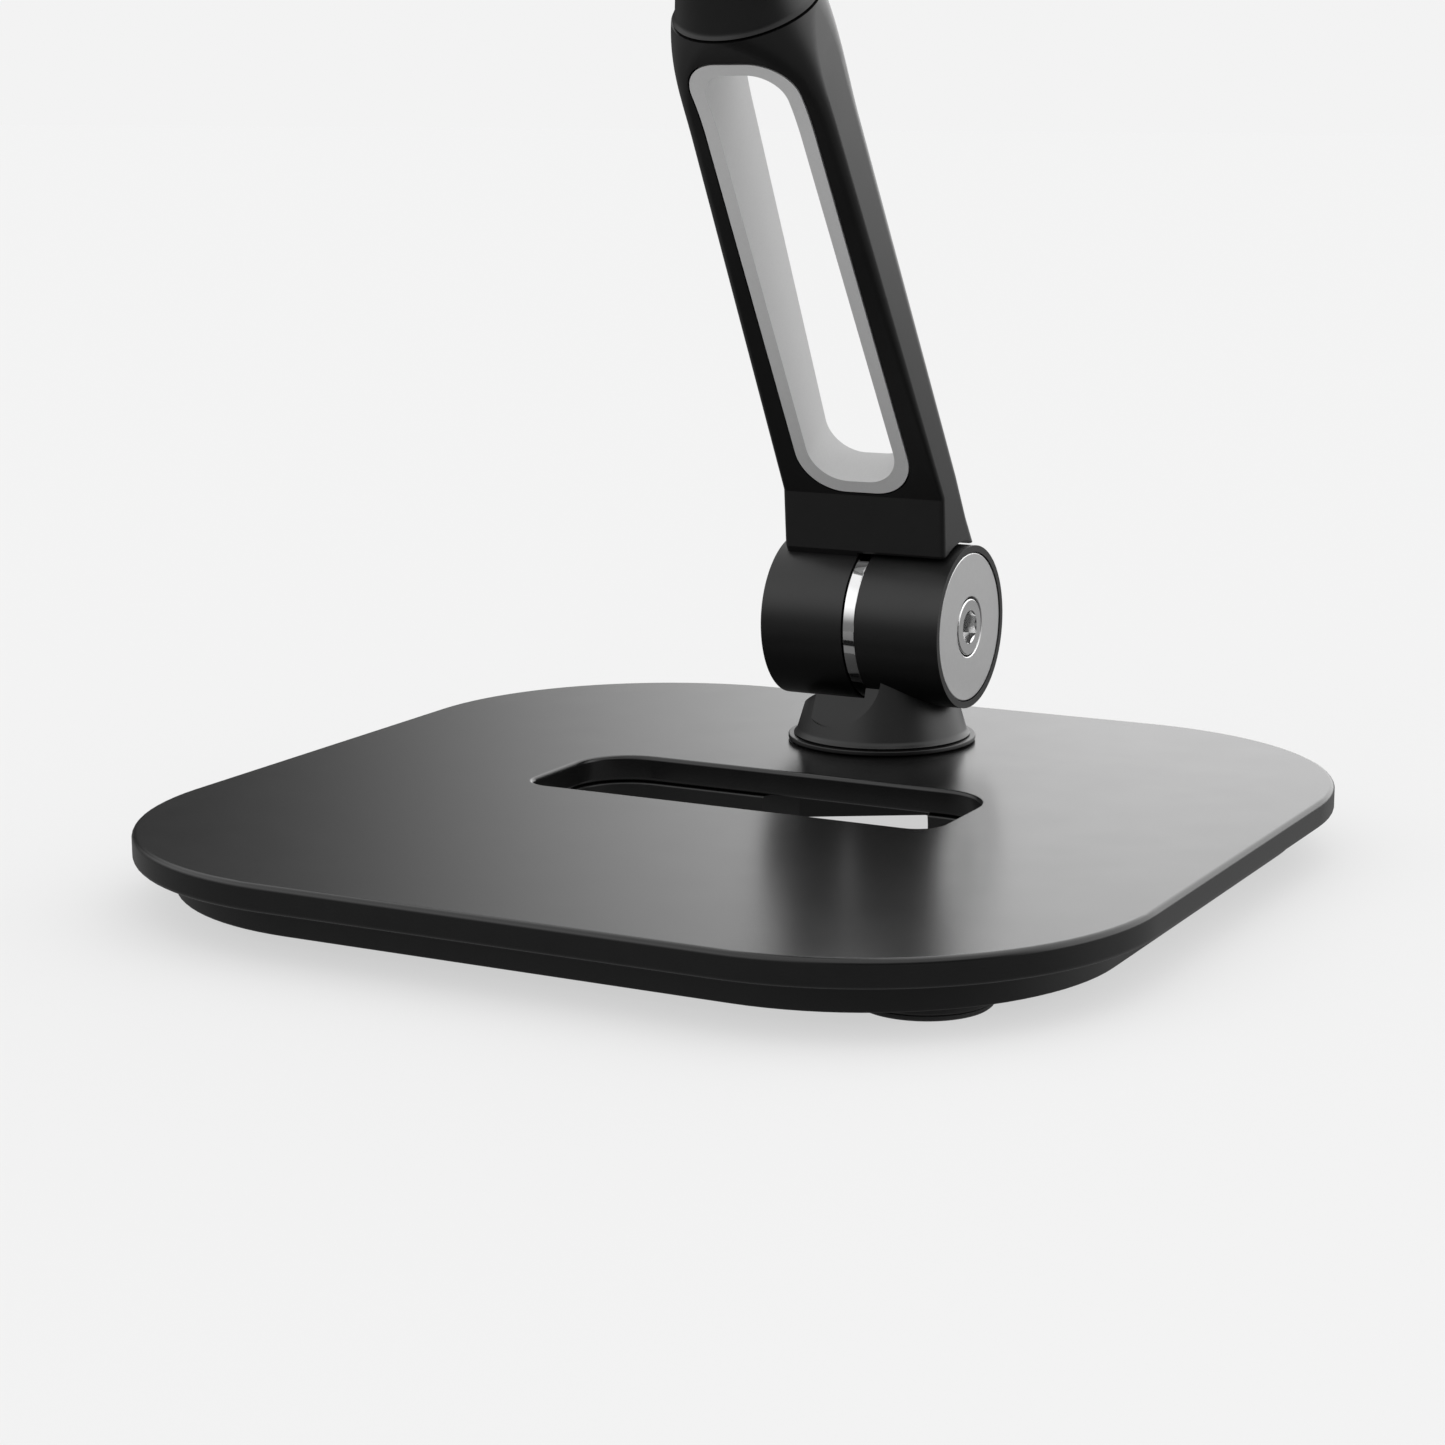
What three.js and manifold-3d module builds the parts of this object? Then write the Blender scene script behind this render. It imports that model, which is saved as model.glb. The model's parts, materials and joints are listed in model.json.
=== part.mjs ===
// Articulated desktop holder stand: a weighted base, two windowed arms and a sprung clamp head.
// Millimetres, +Z up. X runs along the hinge pins, -Y is the front, and the origin is the middle of
// the base on the table. Each arm has its own group, with local Z along the arm from its hinge pin.
import * as THREE from "three";
import { mergeVertices } from "three/addons/utils/BufferGeometryUtils.js";
import { RoundedBoxGeometry } from "three/addons/geometries/RoundedBoxGeometry.js";
import Module from "manifold-3d";

const wasm = await Module();
wasm.setup();

// Driving dimensions
const GAP = 0.3;
const ROUND = 28;
// The feet hold everything else this far above the table
const LIFT = 1.5;
const BASE = { half: 94.9, bulge: 0.6, corner: 52.4, top: 12, plate: 5 };
const BALLAST = { half: 88.2, corner: 46, bottom: 1.2 };
const SLOT = { left: -43, right: 41, front: -10, back: 20.5, frontCorner: 5, backCorner: 11 };
// A notch in the ballast that opens into the slot, under the plate
const NOTCH = [[-9, 18], [26.7, 18], [26.7, 21], [17, 41.8], [-4.3, 29]];
const FOOT = { radius: 11.7, at: 64.8 };
const BASE_SCREWS = [[-70, 0], [70, 0], [0, -70], [0, 80]];
const POST_Y = 57;
const POST = { ring: 18.7, radius: 17.6, slope: 0.32, height: 22.6, spigot: 6.5, scoop: 9.5 };
const ELBOW = { radius: 13.4, slope: 0.3, height: 20 };
const NECK = { radius: 13, slope: 0.18, height: 30 };
// A hinge: radii of its barrel, cap discs, pin and pin head, half its length, the depth of the head,
// the hexagons of its socket and nut across flats, and how many disc springs it has
const HINGE = {
  barrel: 16.05, half: 19, cap: 14.6, pin: 4, head: 5.55, headDepth: 5,
  hex: 6, nut: 13, nutHigh: 6, springs: 2,
};
const ELBOW_HINGE = {
  barrel: 13, half: 16, cap: 11.7, pin: 3, head: 4.8, headDepth: 4,
  hex: 5, nut: 10, nutHigh: 5, springs: 1,
};
const HEAD_HINGE = {
  barrel: 10.5, half: 13.5, cap: 9.3, pin: 2.5, head: 4.1, headDepth: 3.2,
  hex: 4, nut: 8, nutHigh: 4, springs: 1,
};
const RING_HALF = 1.1;
const KNUCKLE_FACE = RING_HALF + 0.4;
const CAP_THICK = 1.8;
const SOCKET_DEPTH = 2;
const SPRING_THICK = 0.9;
// Cutting tools run this far past whatever they cut
const PAST = 40;
const LOWER_LEAN = 30;
const UPPER_LEAN = -15;
const ARM_MIDDLE = 9.2;
const ARM_TOP = 131.6;
const UPPER = { middle: -7.4, length: 125 };
const LOWER_WINDOW = {
  bottom: 27.9, top: 126, lowHalf: 12.4, highHalf: 11, lowCorner: 9, highCorner: 8,
};
const UPPER_WINDOW = { bottom: 24, top: 101, lowHalf: 10, highHalf: 7.4, lowCorner: 7, highCorner: 5 };
const LINER_WALL = 2.7;
const CLAMP = { half: 23, tall: 37, back: 3, depth: 13, rod: 2.2, rodAt: 14, rodY: -8 };
const JAW = { half: 42, reach: 50, hookWide: 12, hookIn: 8, curl: 9, out: 15, thick: 3 };
const HOOK_X = JAW.half - JAW.hookIn;

const BLACK = metal(0x0d0d0e, 0.38);
const STEEL = metal(0xc4c5c8, 0.25);
const SILVER = metal(0xb9babd, 0.35);
const CHROME = metal(0xe2e3e6, 0.12);
const BRASS = metal(0xb08d4a, 0.35);
const LINER = plain(0xb2b2b2, 0.75);
const RUBBER = plain(0x161616, 0.85);
const PLASTIC = plain(0x101011, 0.5);
const PAD = plain(0x8f9091, 0.8);

function metal(color, roughness) {
  return new THREE.MeshStandardMaterial({ color, roughness, metalness: 0.9 });
}

function plain(color, roughness) {
  return new THREE.MeshStandardMaterial({ color, roughness, metalness: 0 });
}

// Solids

function facesOut(positions, index) {
  let volume = 0;
  const [a, b, c] = [new THREE.Vector3(), new THREE.Vector3(), new THREE.Vector3()];
  for (let i = 0; i < index.length; i += 3) {
    a.fromArray(positions, index[i] * 3);
    b.fromArray(positions, index[i + 1] * 3);
    c.fromArray(positions, index[i + 2] * 3);
    volume += a.dot(b.cross(c));
  }
  return volume > 0;
}

function solid(geometry) {
  const bare = geometry.clone();
  bare.deleteAttribute("normal");
  bare.deleteAttribute("uv");
  const merged = mergeVertices(bare, 1e-4);
  const positions = new Float32Array(merged.attributes.position.array);
  const source = merged.index.array;
  const kept = [];
  for (let i = 0; i < source.length; i += 3) {
    const [a, b, c] = [source[i], source[i + 1], source[i + 2]];
    if (a !== b && b !== c && a !== c) kept.push(a, b, c);
  }
  if (!facesOut(positions, kept)) kept.reverse();
  const triVerts = new Uint32Array(kept);
  return new wasm.Manifold(new wasm.Mesh({ numProp: 3, vertProperties: positions, triVerts }));
}

function surface(manifold) {
  const mesh = manifold.getMesh();
  const geometry = new THREE.BufferGeometry();
  geometry.setAttribute("position", new THREE.BufferAttribute(mesh.vertProperties, 3));
  geometry.setIndex(new THREE.BufferAttribute(mesh.triVerts, 1));
  return geometry;
}

// A straight-sided corner outline with each corner rounded to its own radius
function rounded(corners, radii, steps = 4) {
  const points = [];
  corners.forEach(([x, y], i) => {
    const corner = new THREE.Vector2(x, y);
    const before = new THREE.Vector2(...corners.at(i - 1)).sub(corner).normalize();
    const after = new THREE.Vector2(...corners[(i + 1) % corners.length]).sub(corner).normalize();
    const radius = Array.isArray(radii) ? radii[i] : radii;
    if (radius === 0) {
      points.push(corner);
      return;
    }
    const half = Math.acos(before.dot(after)) / 2;
    const reach = radius / Math.tan(half);
    const middle = before.clone().add(after).normalize().multiplyScalar(radius / Math.sin(half));
    const centre = corner.clone().add(middle);
    const first = corner.clone().addScaledVector(before, reach).sub(centre);
    const last = corner.clone().addScaledVector(after, reach).sub(centre);
    const sweep = Math.atan2(first.cross(last), first.dot(last));
    for (let step = 0; step <= steps; step += 1) {
      const turned = first.clone().rotateAround(new THREE.Vector2(), (sweep * step) / steps);
      points.push(turned.add(centre));
    }
  });
  return points;
}

function box2d(left, front, right, back) {
  return [[left, front], [right, front], [right, back], [left, back]];
}

// Extrudes an outline in XY up from z = 0
function prism(points, depth, bevel = {}) {
  const settings = { depth, steps: 1, bevelEnabled: false, ...bevel };
  return new THREE.ExtrudeGeometry(new THREE.Shape(points), settings);
}

// Turns a profile of [radius, height] points about Z
function turned(profile, segments = ROUND) {
  const points = profile.map(([r, z]) => new THREE.Vector2(r, z));
  return new THREE.LatheGeometry(points, segments).rotateX(Math.PI / 2);
}

function rod(radius, bottom, top, segments = ROUND) {
  return turned([[0, bottom], [radius, bottom], [radius, top], [0, top]], segments);
}

function tube(inner, outer, bottom, top, segments = ROUND) {
  const profile = [[inner, bottom], [outer, bottom], [outer, top], [inner, top], [inner, bottom]];
  return turned(profile, segments);
}

// The same shapes lying along X, from left to right
function alongX(geometry) {
  return geometry.rotateY(Math.PI / 2);
}

function hexagon(acrossFlats, bottom, top) {
  return rod(acrossFlats / Math.sqrt(3), bottom, top, 6);
}

// Skins a closed solid over matching rings of points
function loft(rings) {
  const count = rings[0].length;
  const positions = rings.flat().flatMap((p) => [p.x, p.y, p.z]);
  const index = [];
  for (let level = 0; level + 1 < rings.length; level += 1) {
    for (let i = 0; i < count; i += 1) {
      const a = level * count + i;
      const b = level * count + ((i + 1) % count);
      index.push(a, b, b + count, a, b + count, a + count);
    }
  }
  const last = (rings.length - 1) * count;
  for (let i = 1; i + 1 < count; i += 1) {
    index.push(0, i + 1, i);
    index.push(last, last + i, last + i + 1);
  }
  const geometry = new THREE.BufferGeometry();
  geometry.setAttribute("position", new THREE.Float32BufferAttribute(positions, 3));
  geometry.setIndex(index);
  return geometry;
}

function cut(body, ...tools) {
  return tools.reduce((rest, tool) => rest.subtract(solid(tool)), body);
}

function join(...pieces) {
  return pieces.map(solid).reduce((all, piece) => all.add(piece));
}

function piece(name, shape, material) {
  const geometry = shape instanceof THREE.BufferGeometry ? surface(solid(shape)) : surface(shape);
  const mesh = new THREE.Mesh(geometry, material);
  mesh.name = name;
  return mesh;
}

function group(children, { at = [0, 0, 0], turnX = 0 } = {}) {
  const made = new THREE.Group();
  made.position.set(...at);
  made.rotation.x = THREE.MathUtils.degToRad(turnX);
  made.add(...children);
  return made;
}

// Base

function slotOutline() {
  const { left, front, right, back, frontCorner, backCorner } = SLOT;
  return rounded(box2d(left, front, right, back), [frontCorner, frontCorner, backCorner, backCorner]);
}

function squareOutline(half, corner) {
  return rounded(box2d(-half, -half, half, half), corner, 8);
}

function basePlate() {
  const edge = 1.2;
  const bevel = { bevelEnabled: true, bevelThickness: edge, bevelSize: BASE.bulge, bevelSegments: 2 };
  const plate = prism(squareOutline(BASE.half, BASE.corner), BASE.plate - 2 * edge, bevel);
  plate.translate(0, 0, BASE.top - BASE.plate + edge);
  const slot = prism(slotOutline(), PAST);
  const screws = BASE_SCREWS.map(([x, y]) => rod(2.3, 0, 10.4, 12).translate(x, y, 0));
  const bushHole = rod(8.3, 0, PAST, 22).translate(0, POST_Y, 0);
  return cut(solid(plate), slot, bushHole, ...screws);
}

function ballast() {
  const thick = BASE.top - BASE.plate - GAP - BALLAST.bottom;
  const slab = prism(squareOutline(BALLAST.half, BALLAST.corner), thick).translate(0, 0, BALLAST.bottom);
  const slot = prism(slotOutline(), PAST);
  const screws = BASE_SCREWS.flatMap(([x, y]) => [
    rod(2.3, 0, 10, 12).translate(x, y, 0),
    rod(4.8, 0, 4.5, 14).translate(x, y, 0),
  ]);
  const studs = cornerPlaces(FOOT.at).map(([x, y]) => rod(3.3, 0, 10, 12).translate(x, y, 0));
  const well = rod(14.5, 0, PAST, 22).translate(0, POST_Y, 0);
  const notch = prism(rounded(NOTCH, 0.5, 2), PAST);
  return cut(solid(slab), slot, notch, well, ...screws, ...studs);
}

function cornerPlaces(at) {
  return [[-at, -at], [at, -at], [at, at], [-at, at]];
}

function foot([x, y]) {
  const top = LIFT + BALLAST.bottom - GAP;
  const tread = [[0, 0], [10.8, 0], [11.2, 0.4], [11.2, 1]];
  const flange = [[FOOT.radius, 1.1], [FOOT.radius, top]];
  const stud = [[3, top], [3, top + 3.5], [0, top + 3.5]];
  return turned([...tread, ...flange, ...stud], 22).translate(x, y, 0);
}

function baseScrew([x, y]) {
  const profile = [[0, 2.3], [4.5, 2.3], [4.5, 4.2], [2, 4.2], [2, 10], [0, 10]];
  return cut(solid(turned(profile, 14)), hexagon(2.5, 0, 3.6)).translate([x, y, 0]);
}

function baseParts() {
  const screws = BASE_SCREWS.map((at, i) => piece(`base_screw_${i + 1}`, baseScrew(at), STEEL));
  const collar = group([
    piece("base_ring", tube(8.6, POST.ring, BASE.top + GAP, BASE.top + 1.2), BLACK),
    piece("swivel_bush", tube(6.3, 8, 7.0, BASE.top + 1.2, 22), BRASS),
    piece("swivel_thrust_washer", tube(4.3, 13, 5.7, 6.7, 22), PLASTIC),
    piece("swivel_disc_spring", tube(4.3, 9, 4.9, 5.4, 22), STEEL),
    piece("swivel_bolt", swivelBolt(), STEEL),
  ], { at: [0, POST_Y, 0] });
  const body = [piece("base_plate", basePlate(), BLACK), piece("base_ballast", ballast(), BLACK)];
  return [...body, ...screws, collar];
}

function swivelBolt() {
  const profile = [[0, 2.3], [7, 2.3], [7, 4.6], [4, 4.6], [4, 17.8], [0, 17.8]];
  return cut(solid(turned(profile, 22)), hexagon(5, 0, 3.8));
}

// Hinges: the right knuckle holds the pin's head, and the left knuckle turns on the pin

// The head's counterbore and the pin's bore, in the knuckle that keeps the pin from turning
function headBores({ half, cap, head, headDepth, pin }) {
  return [
    alongX(rod(cap + 0.15, half - CAP_THICK - GAP, PAST)),
    alongX(rod(head + GAP, half - headDepth - GAP, PAST, 22)),
    alongX(rod(pin + GAP, -PAST, PAST, 16)),
  ];
}

// The nut's round pocket and the pin's bore, in the knuckle that turns
function nutBores(hinge) {
  const { half, cap, pin, nut } = hinge;
  const pocket = nut / Math.sqrt(3) + 0.6;
  return [
    alongX(rod(cap + 0.15, -PAST, -half + CAP_THICK + GAP)),
    alongX(rod(pocket, -PAST, nutFloor(hinge), 22)),
    alongX(rod(pin + GAP, -PAST, PAST, 16)),
  ];
}

// Where the pocket ends, with room for the nut, its springs and the pin's end
function nutFloor(hinge) {
  return -hinge.half + CAP_THICK + GAP + hinge.nutHigh + 3.6;
}

function knuckle(hinge, from, to) {
  return alongX(rod(hinge.barrel, from, to, 32));
}

// Pin, nut, disc springs, friction ring and the cap disc round the head, fixed with the right knuckle
function hingePin(name, hinge) {
  const { half, head, headDepth, pin, hex, nut, nutHigh, cap, barrel } = hinge;
  const floor = nutFloor(hinge);
  const nutTop = floor - 2.8;
  const end = nutTop - nutHigh - 0.4;
  const headAt = half - headDepth;
  const face = half - 0.1;
  const shank = [[0, end], [pin, end], [pin, headAt], [head, headAt], [head, face], [0, face]];
  const bolt = cut(solid(alongX(turned(shank, 22))), alongX(hexagon(hex, half - SOCKET_DEPTH, PAST)));
  const blank = solid(alongX(hexagon(nut, nutTop - nutHigh, nutTop)));
  const nutBody = cut(blank, alongX(rod(pin + GAP, -PAST, PAST, 16)));
  const cover = tube(head + 0.35, cap, half - CAP_THICK, half - 0.15);
  const ring = tube(pin + GAP, barrel - 0.25, -RING_HALF, RING_HALF, 32);
  const springs = [];
  for (let i = 0; i < hinge.springs; i += 1) {
    const at = floor - GAP - (SPRING_THICK + GAP) * i;
    const spring = tube(pin + GAP, nut / Math.sqrt(3), at - SPRING_THICK, at, 22);
    springs.push(piece(`${name}_disc_spring_${i + 1}`, alongX(spring), STEEL));
  }
  return [
    piece(`${name}_pin`, bolt, STEEL),
    piece(`${name}_cap_right`, alongX(cover), SILVER),
    piece(`${name}_friction_ring`, alongX(ring), CHROME),
    piece(`${name}_nut`, nutBody, STEEL),
    ...springs,
  ];
}

function capLeft(name, hinge) {
  const disc = alongX(rod(hinge.cap, -hinge.half + 0.15, -hinge.half + CAP_THICK));
  return piece(`${name}_cap_left`, disc, SILVER);
}

// A cone on a round foot at z = 0, carrying the right knuckle with its pin at z = height.
// Recesses are cut from the cone alone.
function hingePost({ radius, slope, height, spigot = 0 }, hinge, boltHole, ...recesses) {
  const flare = 0.5;
  const profile = [
    [0, 0],
    [radius, 0],
    [radius - flare, flare],
    [radius - 1.5 * flare, 2 * flare],
    [radius - slope * height, height],
    [0, height],
  ];
  const cone = join(turned(profile, 32), rod(6, -spigot, 1, 22));
  const right = knuckle(hinge, KNUCKLE_FACE, hinge.half).translate(0, 0, height);
  const clearance = alongX(rod(hinge.barrel + 1.85, -PAST, KNUCKLE_FACE, 32)).translate(0, 0, height);
  const bores = headBores(hinge).map((bore) => bore.translate(0, 0, height));
  const hole = rod(boltHole.radius, -PAST, boltHole.depth, 16);
  return cut(cut(cone, clearance, ...recesses).add(solid(right)), ...bores, hole);
}

// A round, shallow recess in the front of the post, its floor parallel to the cone's side
function postScoop() {
  const tilt = Math.atan(POST.slope);
  const disc = rod(POST.scoop, 0, 10, 28).rotateX(Math.PI / 2 - tilt);
  return disc.translate(-4.1, -10.5, 11.5);
}

function post() {
  return hingePost(POST, HINGE, { radius: 4.3, depth: 4.6 }, postScoop());
}

// Arms. Across the hinge is x, n is the way out of the arm's back, and s runs along it.

function armRing(s, half, front, back, frontCorner, backCorner) {
  const shrink = Math.min(1, (back - front - 0.02) / (frontCorner + backCorner));
  const [low, high] = [frontCorner, backCorner].map((corner) => Math.min(corner * shrink, half - 0.01));
  const points = rounded(box2d(-half, front, half, back), [low, low, high, high]);
  return points.map((p) => new THREE.Vector3(p.x, p.y, s));
}

// The lower arm's front and back faces at s, and the radii of its front and back corners
function bladeFaces(s) {
  const past = s - 27.4;
  return {
    front: 4.45 - (2.7 * past) / 94,
    back: 13.67 + (3.1 * past) / 91,
    frontCorner: 1 + past * 0.013,
    backCorner: 2.9 + past * 0.034,
  };
}

// From its barrel the arm rises as a block to a crease, thickens and narrows evenly, then flares
// into the round collar at its top. A block's row is s, front, back and back corner.
function lowerArmSections() {
  const block = [[2, -0.35, 9, 1], [9.9, -0.35, 13.8, 2.4], [17.4, -0.35, 13.6, 2.9]];
  const rings = block.map(([s, front, back, corner]) => armRing(s, 17.3, front, back, 1, corner));
  const straight = [[27.4, 17.3], [60, 16.4], [90, 15.45], [108, 14.9]];
  straight.forEach(([s, half]) => {
    const { front, back, frontCorner, backCorner } = bladeFaces(s);
    rings.push(armRing(s, half, front, back, frontCorner, backCorner));
  });
  const [flareStart, collar] = [108, 13.7];
  const start = bladeFaces(flareStart);
  for (const t of [0.35, 0.6, 0.8, 0.92, 1]) {
    const s = THREE.MathUtils.lerp(flareStart, ARM_TOP, t);
    const faces = bladeFaces(s);
    const front = THREE.MathUtils.lerp(faces.front, ARM_MIDDLE - collar, t ** 2.3);
    const back = THREE.MathUtils.lerp(faces.back, ARM_MIDDLE + collar, t ** 2.3);
    const half = THREE.MathUtils.lerp(14.9 - 0.72 * t, collar, t ** 3);
    const frontCorner = THREE.MathUtils.lerp(start.frontCorner, collar, t ** 3);
    const backCorner = THREE.MathUtils.lerp(start.backCorner, collar, t ** 3);
    rings.push(armRing(s, half, front, back, frontCorner, backCorner));
  }
  return rings;
}

// The upper arm is handed front to back, so its middle lies in front of the elbow's pin.
// Its rows are s, half width, front and back.
function upperArmSections() {
  const block = [[2, 13.9, -7, 0.3], [8, 13.9, -11.2, 0.3], [14.1, 13.9, -11.5, 0.3]];
  const blade = [[22, 13.8, -11.7, -3.1], [60, 12.3, -11.9, -2.9], [98, 10.8, -12.1, -2.7]];
  const rows = [...block, ...blade, [UPPER.length, 9.6, -12.2, -2.6]];
  return rows.map(([s, half, front, back]) => armRing(s, half, front, back, 1 + s * 0.01, 1 + s * 0.005));
}

// The window's outline in x and s, drawn inwards by inset
function windowOutline({ bottom, top, lowHalf, highHalf, lowCorner, highCorner }, inset) {
  const corners = [
    [-lowHalf + inset, bottom + inset],
    [lowHalf - inset, bottom + inset],
    [highHalf - inset, top - inset],
    [-highHalf + inset, top - inset],
  ];
  const low = lowCorner - inset * 0.6;
  const high = highCorner - inset * 0.6;
  return rounded(corners, [low, low, high, high]);
}

function windowPrism(window, inset) {
  return prism(windowOutline(window, inset), 2 * PAST).rotateX(Math.PI / 2).translate(0, PAST, 0);
}

// An arm up from its left knuckle, with room for the right knuckle
function armBody(sections, hinge) {
  const clear = alongX(rod(hinge.barrel + 0.85, -KNUCKLE_FACE, PAST, 32));
  const body = cut(solid(loft(sections)), clear);
  return body.add(solid(knuckle(hinge, -hinge.half, -KNUCKLE_FACE)));
}

function lowerArm() {
  const body = armBody(lowerArmSections(), HINGE);
  const [shankHole, headHole] = [rod(2.9, 100, 150, 14), rod(4.6, 100, 129.2, 16)];
  const swivel = [shankHole, headHole, rod(9.3, 130.6, 140, 22)];
  const bores = swivel.map((bore) => bore.translate(0, ARM_MIDDLE, 0));
  return cut(body, windowPrism(LOWER_WINDOW, 0), ...bores, ...nutBores(HINGE));
}

function liner(sections, window) {
  const skin = solid(loft(sections)).intersect(solid(windowPrism(window, GAP)));
  return cut(skin, windowPrism(window, GAP + LINER_WALL));
}

function lowerArmParts() {
  return [
    piece("lower_arm", lowerArm(), BLACK),
    piece("lower_arm_liner", liner(lowerArmSections(), LOWER_WINDOW), LINER),
    capLeft("hinge", HINGE),
    piece("collar_screw", collarScrew(), STEEL),
    piece("collar_disc_spring", tube(2.8, 4.3, 128.5, 129, 14).translate(0, ARM_MIDDLE, 0), STEEL),
    piece("collar_thrust_washer", tube(2.8, 9, 130.9, 131.7, 22).translate(0, ARM_MIDDLE, 0), BRASS),
  ];
}

function collarScrew() {
  const profile = [[0, 126.3], [4.3, 126.3], [4.3, 128.3], [2.5, 128.3], [2.5, 136.6], [0, 136.6]];
  return cut(solid(turned(profile, 16)), hexagon(3, 120, 127.5)).translate([0, ARM_MIDDLE, 0]);
}

function upperArm() {
  const { middle, length } = UPPER;
  const body = armBody(upperArmSections(), ELBOW_HINGE);
  const head = (shape) => shape.translate(0, middle, length);
  const top = head(knuckle(HEAD_HINGE, -HEAD_HINGE.half, -KNUCKLE_FACE));
  const clear = head(alongX(rod(HEAD_HINGE.barrel + 0.85, -KNUCKLE_FACE, PAST, 32)));
  const shaped = cut(body, windowPrism(UPPER_WINDOW, 0), clear).add(solid(top));
  return cut(shaped, ...nutBores(ELBOW_HINGE), ...nutBores(HEAD_HINGE).map(head));
}

function upperArmParts() {
  const head = group([capLeft("head", HEAD_HINGE)], { at: [0, UPPER.middle, UPPER.length] });
  return [
    piece("upper_arm", upperArm(), BLACK),
    piece("upper_arm_liner", liner(upperArmSections(), UPPER_WINDOW), LINER),
    capLeft("elbow", ELBOW_HINGE),
    head,
  ];
}

// Clamp head. Its group has the swivel face at y = 0, the front towards -Y and the rods along Z.

function upright(points, from, to) {
  return prism(points, to - from).rotateX(Math.PI / 2).translate(0, to, 0);
}

function clampOutline(inset) {
  const { half, tall } = CLAMP;
  const corners = box2d(-half + inset, -tall + inset, half - inset, tall - inset);
  return rounded(corners, 8 - inset * 0.8, 4);
}

function clampCover() {
  const plate = solid(upright(clampOutline(0), -CLAMP.back, -GAP));
  return cut(plate, rod(2.8, -PAST, PAST, 16).rotateX(Math.PI / 2));
}

// The same upright rod at both rod places
function atRods(makeRod) {
  const { rodAt, rodY } = CLAMP;
  return [-rodAt, rodAt].map((x) => makeRod().translate(x, rodY, 0));
}

function clampHousing() {
  const { depth, back, tall } = CLAMP;
  const wall = 2.4;
  const shell = solid(upright(clampOutline(0), -depth, -back - GAP));
  const hollow = upright(clampOutline(wall), -depth + wall, 1);
  const guides = atRods(() => rod(CLAMP.rod + GAP, tall - 17, tall + 13, 14));
  const screws = atRods(() => rod(1.8, -tall - 23, -tall + 17, 12));
  return cut(shell, hollow, ...guides, ...screws);
}

// A jaw: a cross bar beyond the housing's end with two forward hooks that curl over the held edge.
// way is 1 for the upper jaw and -1 for the lower one.
function jaw(way) {
  const { half, reach } = JAW;
  const near = way * (CLAMP.tall + 0.4);
  const far = way * reach;
  const bar = rounded(box2d(-half, Math.min(near, far), half, Math.max(near, far)), 4, 3);
  const plate = solid(upright(bar, -CLAMP.depth, -4));
  return plate.add(solid(hook(-HOOK_X, way))).add(solid(hook(HOOK_X, way)));
}

function hook(x, way) {
  const { reach, out, thick, curl, hookWide } = JAW;
  const root = -CLAMP.depth + 1;
  const tip = -CLAMP.depth - out;
  const profile = [
    [root, way * reach],
    [tip, way * reach],
    [tip, way * (reach - curl)],
    [tip + thick, way * (reach - curl)],
    [tip + thick, way * (reach - thick)],
    [root, way * (reach - thick)],
  ];
  const points = rounded(profile, [0, 4, 1.2, 1.2, 0.6, 0], 3);
  const shape = prism(points, hookWide).translate(0, 0, -hookWide / 2);
  return shape.rotateX(Math.PI / 2).rotateZ(Math.PI / 2).translate(x, 0, 0);
}

function jawPad(x, way) {
  const thick = 1.8;
  const deep = JAW.out - JAW.thick - 0.8;
  const y = -CLAMP.depth - 0.4 - deep / 2;
  const z = way * (JAW.reach - JAW.thick - GAP - thick / 2);
  return new RoundedBoxGeometry(10, deep, thick, 1, 0.6).translate(x, y, z);
}

function lowerJaw() {
  return cut(jaw(-1), ...atRods(() => rod(1.8, -CLAMP.tall - 4, -CLAMP.tall + 9, 12)));
}

function clampParts() {
  const { half, tall, depth, rodY } = CLAMP;
  const frontPad = new RoundedBoxGeometry(2 * half - 8, 1.6, 2 * tall - 10, 1, 0.6);
  const bridge = new RoundedBoxGeometry(36, 4.4, 6, 1, 0.8);
  const rods = atRods(() => rod(CLAMP.rod, -12, tall + 0.1, 14));
  const screws = atRods(() => rod(1.5, -tall - 3, -tall + 4, 12));
  return [
    piece("clamp_cover", clampCover(), BLACK),
    piece("clamp_housing", clampHousing(), PLASTIC),
    piece("clamp_front_pad", frontPad.translate(0, -depth - 1.1, 0), PAD),
    piece("lower_jaw", lowerJaw(), BLACK),
    piece("lower_jaw_screw_left", screws[0], STEEL),
    piece("lower_jaw_screw_right", screws[1], STEEL),
    piece("lower_jaw_pad_left", jawPad(-HOOK_X, -1), PAD),
    piece("lower_jaw_pad_right", jawPad(HOOK_X, -1), PAD),
    piece("upper_jaw", jaw(1), BLACK),
    piece("upper_jaw_pad_left", jawPad(-HOOK_X, 1), PAD),
    piece("upper_jaw_pad_right", jawPad(HOOK_X, 1), PAD),
    piece("slide_rod_left", rods[0], STEEL),
    piece("slide_rod_right", rods[1], STEEL),
    piece("slide_bridge", bridge.translate(0, rodY, -15.6), PLASTIC),
    piece("jaw_spring", rod(2.2, -34.2, -19, 16).translate(0, rodY, 0), STEEL),
  ];
}

// Assembly

function neck() {
  return hingePost(NECK, HEAD_HINGE, { radius: 2.3, depth: 14 });
}

function neckScrew() {
  const profile = [[0, -6], [4.2, -6], [4.2, -3.4], [2, -3.4], [2, 12], [0, 12]];
  return cut(solid(turned(profile, 16)), hexagon(2.5, -10, -4.6));
}

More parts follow.
